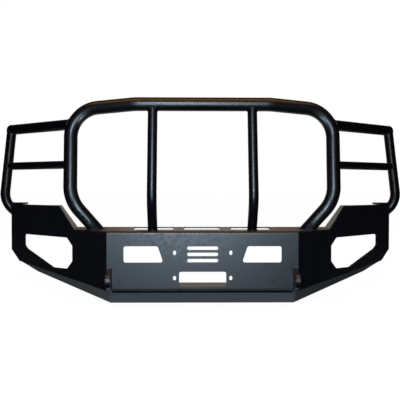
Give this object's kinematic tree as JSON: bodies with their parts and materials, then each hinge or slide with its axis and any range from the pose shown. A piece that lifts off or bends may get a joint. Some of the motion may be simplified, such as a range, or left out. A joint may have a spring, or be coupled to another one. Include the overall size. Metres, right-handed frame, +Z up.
{
  "type": "front grille guard",
  "caption": "Steel plate front bumper with bent-tube grille and lamp guards, swept wings, winch window, lamp ports and recovery tabs.",
  "frame": {"origin": "centre of the four frame bolts, on the rear faces of the frame flanges", "axes": "+X to the right as seen from in front, +Y back towards the truck, +Z up"},
  "size_m": [2.0208, 0.5923, 0.9453],
  "materials": {
    "plate_coat": "satin black powder coat with a fine texture",
    "tube_coat": "semi-gloss black powder coat"
  },
  "bodies": {
    "root": {"face_plate": "plate_coat", "deck_plate": "plate_coat", "bottom_pan": "plate_coat", "center_valance": "plate_coat", "left_wing_plate": "plate_coat", "right_wing_plate": "plate_coat", "left_wing_cap": "plate_coat", "right_wing_cap": "plate_coat", "left_wing_valance": "plate_coat", "right_wing_valance": "plate_coat", "left_end_plate": "plate_coat", "right_end_plate": "plate_coat", "left_guard_foot": "plate_coat", "right_guard_foot": "plate_coat", "left_frame_rib": "plate_coat", "right_frame_rib": "plate_coat", "left_frame_flange": "plate_coat", "right_frame_flange": "plate_coat", "left_hoop_gusset": "plate_coat", "right_hoop_gusset": "plate_coat", "main_hoop": "tube_coat", "left_upright": "tube_coat", "right_upright": "tube_coat", "left_lamp_bar": "tube_coat", "right_lamp_bar": "tube_coat", "left_bar_cap": "tube_coat", "right_bar_cap": "tube_coat", "left_lamp_leg": "tube_coat", "right_lamp_leg": "tube_coat", "left_mid_bar": "tube_coat", "right_mid_bar": "tube_coat"}
  },
  "joints": []
}
